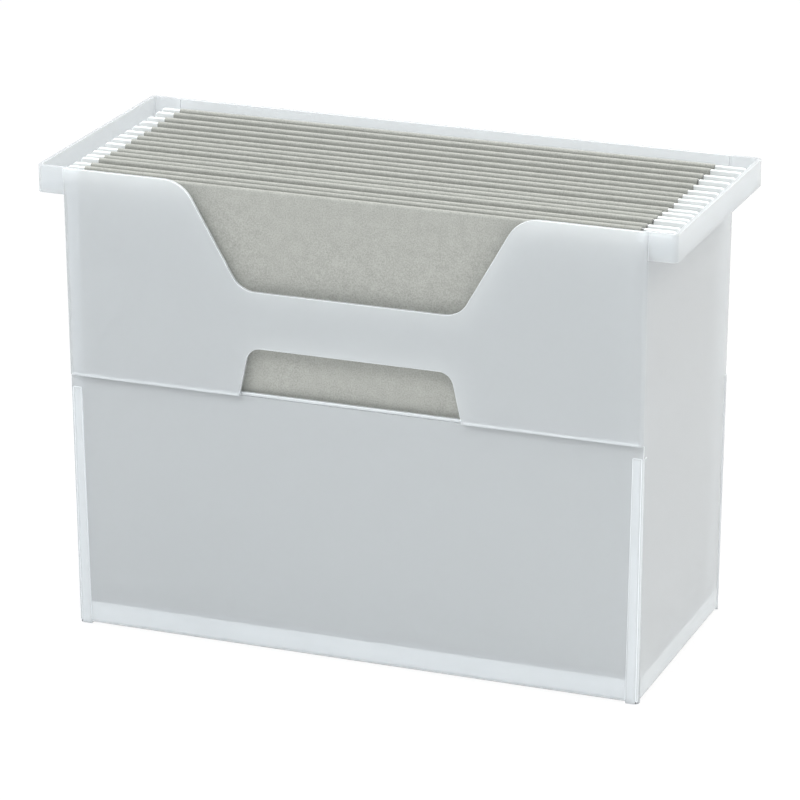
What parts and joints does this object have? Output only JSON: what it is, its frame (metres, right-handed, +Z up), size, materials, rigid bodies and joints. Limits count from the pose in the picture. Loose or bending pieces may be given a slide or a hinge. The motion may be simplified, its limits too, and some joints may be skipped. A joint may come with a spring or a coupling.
{
  "type": "portable file box",
  "caption": "Open-top frosted plastic file tub with a scooped front, a hand-hole and end rails under wide rims, holding hanging card folders that lift out one by one.",
  "frame": {"origin": "centre of the base, on the surface that the four corner feet stand on", "axes": "+X along the width to the right, +Y from the scooped front wall to the back wall, +Z up"},
  "size_m": [0.342, 0.146, 0.25],
  "materials": {
    "frosted_plastic": "satin, frosted translucent",
    "folder_card": "uncoated, fine speckle",
    "rod_steel": "plain",
    "hook_plastic": "smooth white"
  },
  "bodies": {
    "tub": {"tub": "frosted_plastic"},
    "folder_1": {"folder_1_jacket": "folder_card", "folder_1_front_rod": "rod_steel", "folder_1_rear_rod": "rod_steel", "folder_1_front_left_tip": "hook_plastic", "folder_1_front_right_tip": "hook_plastic", "folder_1_rear_left_tip": "hook_plastic", "folder_1_rear_right_tip": "hook_plastic"},
    "folder_2": {"folder_2_jacket": "folder_card", "folder_2_front_rod": "rod_steel", "folder_2_rear_rod": "rod_steel", "folder_2_front_left_tip": "hook_plastic", "folder_2_front_right_tip": "hook_plastic", "folder_2_rear_left_tip": "hook_plastic", "folder_2_rear_right_tip": "hook_plastic"},
    "folder_3": {"folder_3_jacket": "folder_card", "folder_3_front_rod": "rod_steel", "folder_3_rear_rod": "rod_steel", "folder_3_front_left_tip": "hook_plastic", "folder_3_front_right_tip": "hook_plastic", "folder_3_rear_left_tip": "hook_plastic", "folder_3_rear_right_tip": "hook_plastic"},
    "folder_4": {"folder_4_jacket": "folder_card", "folder_4_front_rod": "rod_steel", "folder_4_rear_rod": "rod_steel", "folder_4_front_left_tip": "hook_plastic", "folder_4_front_right_tip": "hook_plastic", "folder_4_rear_left_tip": "hook_plastic", "folder_4_rear_right_tip": "hook_plastic"},
    "folder_5": {"folder_5_jacket": "folder_card", "folder_5_front_rod": "rod_steel", "folder_5_rear_rod": "rod_steel", "folder_5_front_left_tip": "hook_plastic", "folder_5_front_right_tip": "hook_plastic", "folder_5_rear_left_tip": "hook_plastic", "folder_5_rear_right_tip": "hook_plastic"},
    "folder_6": {"folder_6_jacket": "folder_card", "folder_6_front_rod": "rod_steel", "folder_6_rear_rod": "rod_steel", "folder_6_front_left_tip": "hook_plastic", "folder_6_front_right_tip": "hook_plastic", "folder_6_rear_left_tip": "hook_plastic", "folder_6_rear_right_tip": "hook_plastic"},
    "folder_7": {"folder_7_jacket": "folder_card", "folder_7_front_rod": "rod_steel", "folder_7_rear_rod": "rod_steel", "folder_7_front_left_tip": "hook_plastic", "folder_7_front_right_tip": "hook_plastic", "folder_7_rear_left_tip": "hook_plastic", "folder_7_rear_right_tip": "hook_plastic"},
    "folder_8": {"folder_8_jacket": "folder_card", "folder_8_front_rod": "rod_steel", "folder_8_rear_rod": "rod_steel", "folder_8_front_left_tip": "hook_plastic", "folder_8_front_right_tip": "hook_plastic", "folder_8_rear_left_tip": "hook_plastic", "folder_8_rear_right_tip": "hook_plastic"}
  },
  "joints": [
    {"name": "folder_1_lift", "type": "slide", "parent": "tub", "child": "folder_1", "axis": [0, 0, 1], "range_m": [0, 0.26]},
    {"name": "folder_2_lift", "type": "slide", "parent": "tub", "child": "folder_2", "axis": [0, 0, 1], "range_m": [0, 0.26]},
    {"name": "folder_3_lift", "type": "slide", "parent": "tub", "child": "folder_3", "axis": [0, 0, 1], "range_m": [0, 0.26]},
    {"name": "folder_4_lift", "type": "slide", "parent": "tub", "child": "folder_4", "axis": [0, 0, 1], "range_m": [0, 0.26]},
    {"name": "folder_5_lift", "type": "slide", "parent": "tub", "child": "folder_5", "axis": [0, 0, 1], "range_m": [0, 0.26]},
    {"name": "folder_6_lift", "type": "slide", "parent": "tub", "child": "folder_6", "axis": [0, 0, 1], "range_m": [0, 0.26]},
    {"name": "folder_7_lift", "type": "slide", "parent": "tub", "child": "folder_7", "axis": [0, 0, 1], "range_m": [0, 0.26]},
    {"name": "folder_8_lift", "type": "slide", "parent": "tub", "child": "folder_8", "axis": [0, 0, 1], "range_m": [0, 0.26]}
  ]
}
